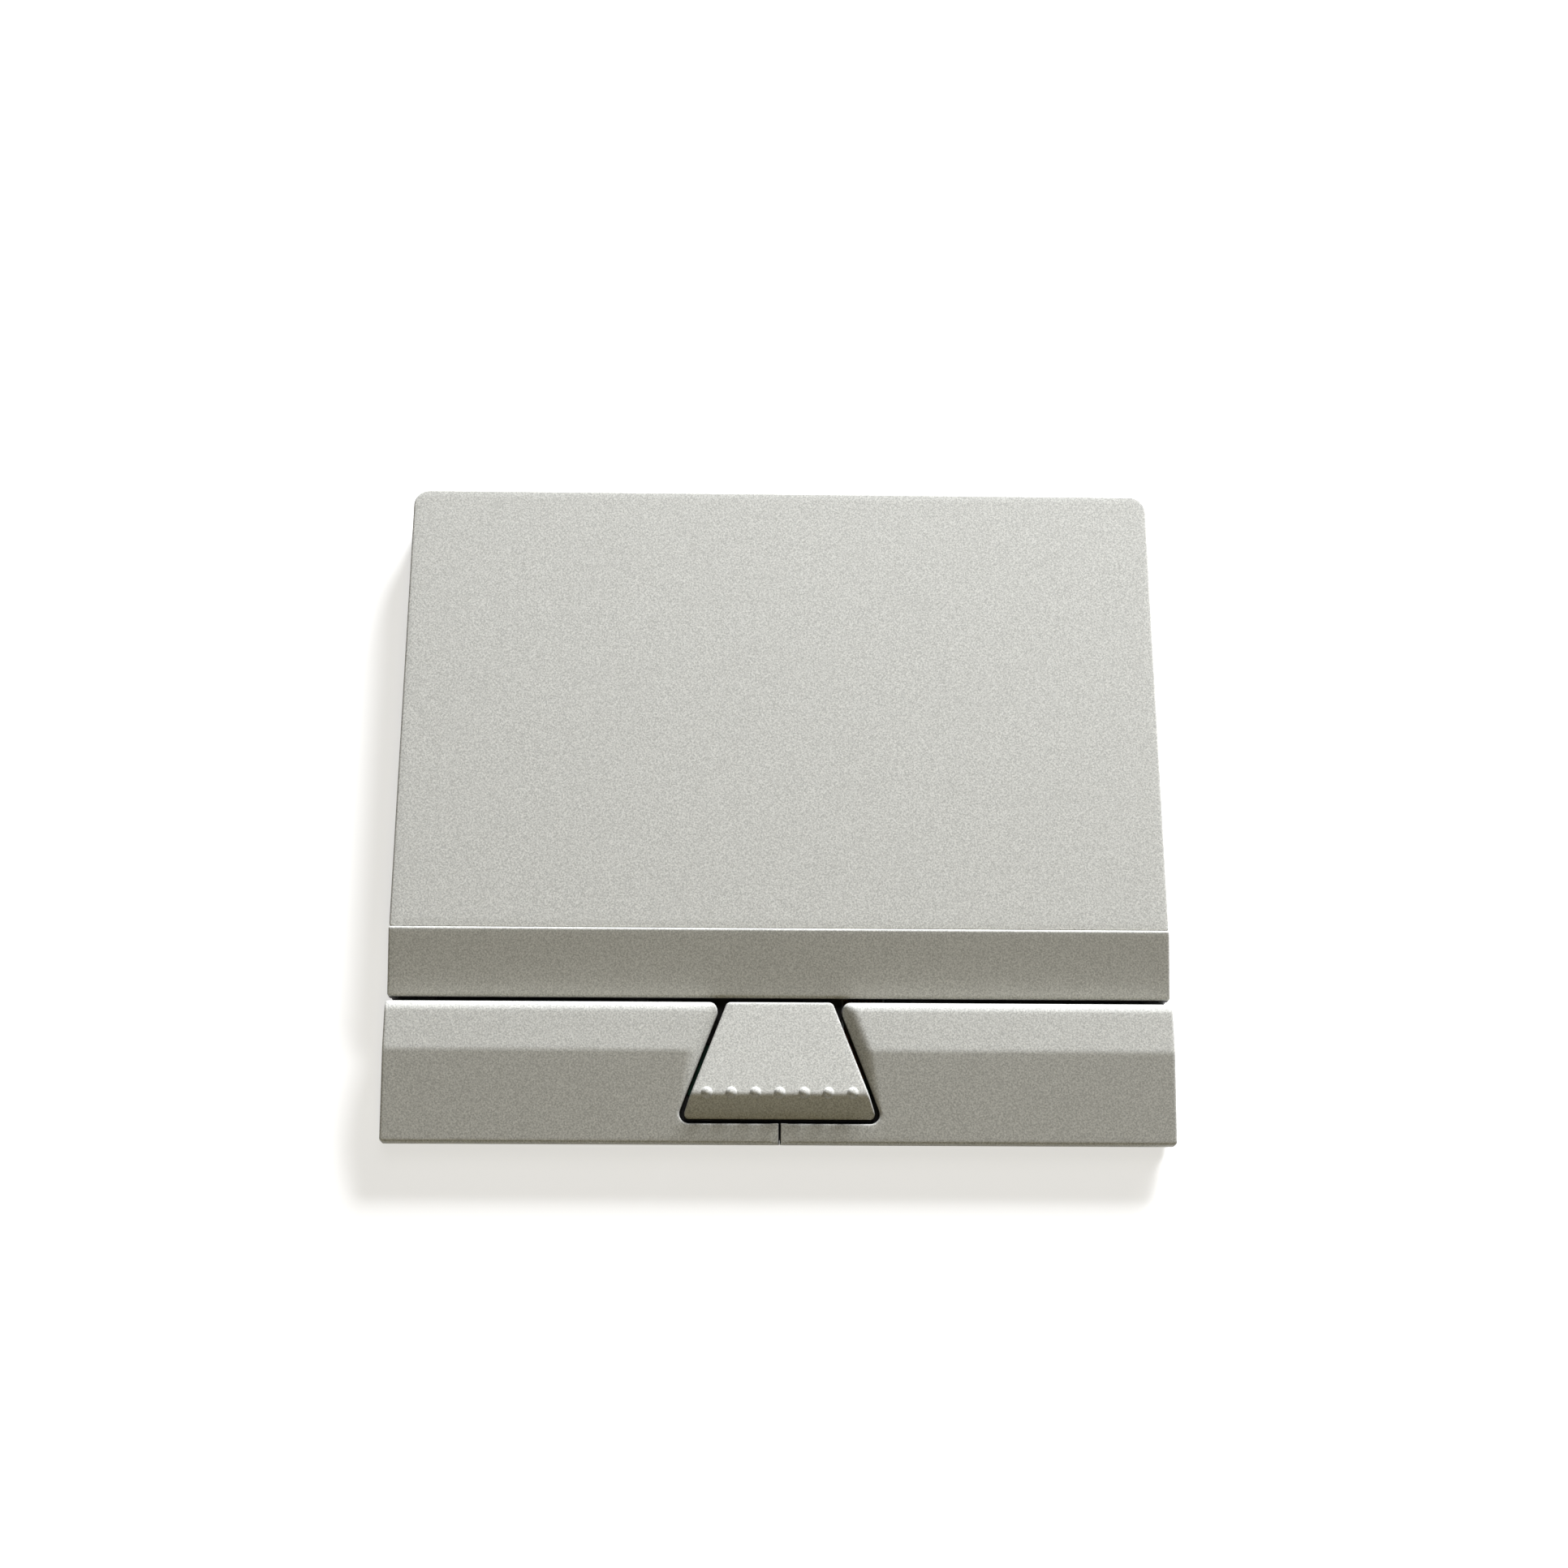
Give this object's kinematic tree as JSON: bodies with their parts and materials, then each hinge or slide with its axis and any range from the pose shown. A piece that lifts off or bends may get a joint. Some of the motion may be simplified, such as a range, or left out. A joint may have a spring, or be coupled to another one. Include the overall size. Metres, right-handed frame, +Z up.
{
  "type": "trackpad module",
  "caption": "Silver palm-rest trackpad module: flat touch surface, sloped strip and hinged left, middle and right buttons, the middle one a bumped trapezoid, on a framed steel plate.",
  "frame": {"origin": "middle of the module's footprint, on the underside of the support plate", "axes": "+X to the user's right, +Y away from the user towards the back edge, +Z up out of the touch surface"},
  "size_m": [0.1, 0.0892, 0.006],
  "materials": {
    "silver_paint": "satin silver paint with a fine metallic grain over moulded plastic",
    "black_plastic": "black moulded plastic, fine spark-eroded texture",
    "plated_steel": "zinc-plated sheet steel, satin",
    "circuit_board": "dark green solder mask over glass laminate",
    "adhesive": "double-sided acrylic tape",
    "chip_epoxy": "matt black moulding compound",
    "ceramic": "fired ceramic",
    "ivory_plastic": "ivory high-temperature plastic",
    "brown_plastic": "dark brown high-temperature plastic",
    "gold_plate": "gold-plated contact",
    "tinned_metal": "tinned sheet",
    "polyimide": "dark brown polyimide film over copper",
    "brass": "turned brass",
    "screw_steel": "dark zinc-plated steel",
    "rubber": "black silicone rubber"
  },
  "bodies": {
    "base": {"support_plate": "plated_steel", "carrier_frame": "black_plastic", "sensor_board": "circuit_board", "surface_adhesive": "adhesive", "touch_surface": "silver_paint", "touch_controller": "chip_epoxy", "board_capacitors": "ceramic", "connector_housing": "ivory_plastic", "connector_contacts": "gold_plate", "front_strip": "silver_paint", "switch_board": "circuit_board", "left_switch_housing": "chip_epoxy", "middle_switch_housing": "chip_epoxy", "right_switch_housing": "chip_epoxy", "left_switch_cover": "tinned_metal", "middle_switch_cover": "tinned_metal", "right_switch_cover": "tinned_metal", "left_switch_dome": "tinned_metal", "middle_switch_dome": "tinned_metal", "right_switch_dome": "tinned_metal", "switch_terminals": "tinned_metal", "ribbon_cable": "polyimide", "clinch_nuts": "brass", "frame_screws": "screw_steel", "button_dampers": "rubber"},
    "left_button": {"left_button_cap": "silver_paint", "left_button_lever": "black_plastic"},
    "middle_button": {"middle_button_cap": "silver_paint", "middle_button_lever": "black_plastic"},
    "right_button": {"right_button_cap": "silver_paint", "right_button_lever": "black_plastic"},
    "left_stem": {"left_switch_stem": "black_plastic"},
    "middle_stem": {"middle_switch_stem": "black_plastic"},
    "right_stem": {"right_switch_stem": "black_plastic"},
    "latch": {"connector_latch": "brown_plastic"}
  },
  "joints": [
    {"name": "left_button_press", "type": "hinge", "parent": "base", "child": "left_button", "pos_m": [-0.028, -0.02275, 0.0021], "axis": [1, 0, 0], "range_deg": [0, 1.4], "stiffness_Nm_per_rad": 0.165, "springref_deg": -1.72},
    {"name": "middle_button_press", "type": "hinge", "parent": "base", "child": "middle_button", "pos_m": [0, -0.02275, 0.0021], "axis": [1, 0, 0], "range_deg": [0, 1.4], "stiffness_Nm_per_rad": 0.165, "springref_deg": -1.72},
    {"name": "right_button_press", "type": "hinge", "parent": "base", "child": "right_button", "pos_m": [0.028, -0.02275, 0.0021], "axis": [1, 0, 0], "range_deg": [0, 1.4], "stiffness_Nm_per_rad": 0.165, "springref_deg": -1.72},
    {"name": "left_stem_slide", "type": "slide", "parent": "base", "child": "left_stem", "axis": [0, 0, -1], "range_m": [0, 0.00031], "deforming": ["left_switch_dome"]},
    {"name": "middle_stem_slide", "type": "slide", "parent": "base", "child": "middle_stem", "axis": [0, 0, -1], "range_m": [0, 0.00031], "deforming": ["middle_switch_dome"]},
    {"name": "right_stem_slide", "type": "slide", "parent": "base", "child": "right_stem", "axis": [0, 0, -1], "range_m": [0, 0.00031], "deforming": ["right_switch_dome"]},
    {"name": "latch_flip", "type": "hinge", "parent": "base", "child": "latch", "pos_m": [0, 0.02463, 0.00275], "axis": [1, 0, 0], "range_deg": [0, 90]}
  ],
  "couplings": [
    {"joint": "left_stem_slide", "follows": "left_button_press", "m_per_rad": 0.01205},
    {"joint": "middle_stem_slide", "follows": "middle_button_press", "m_per_rad": 0.01205},
    {"joint": "right_stem_slide", "follows": "right_button_press", "m_per_rad": 0.01205}
  ]
}
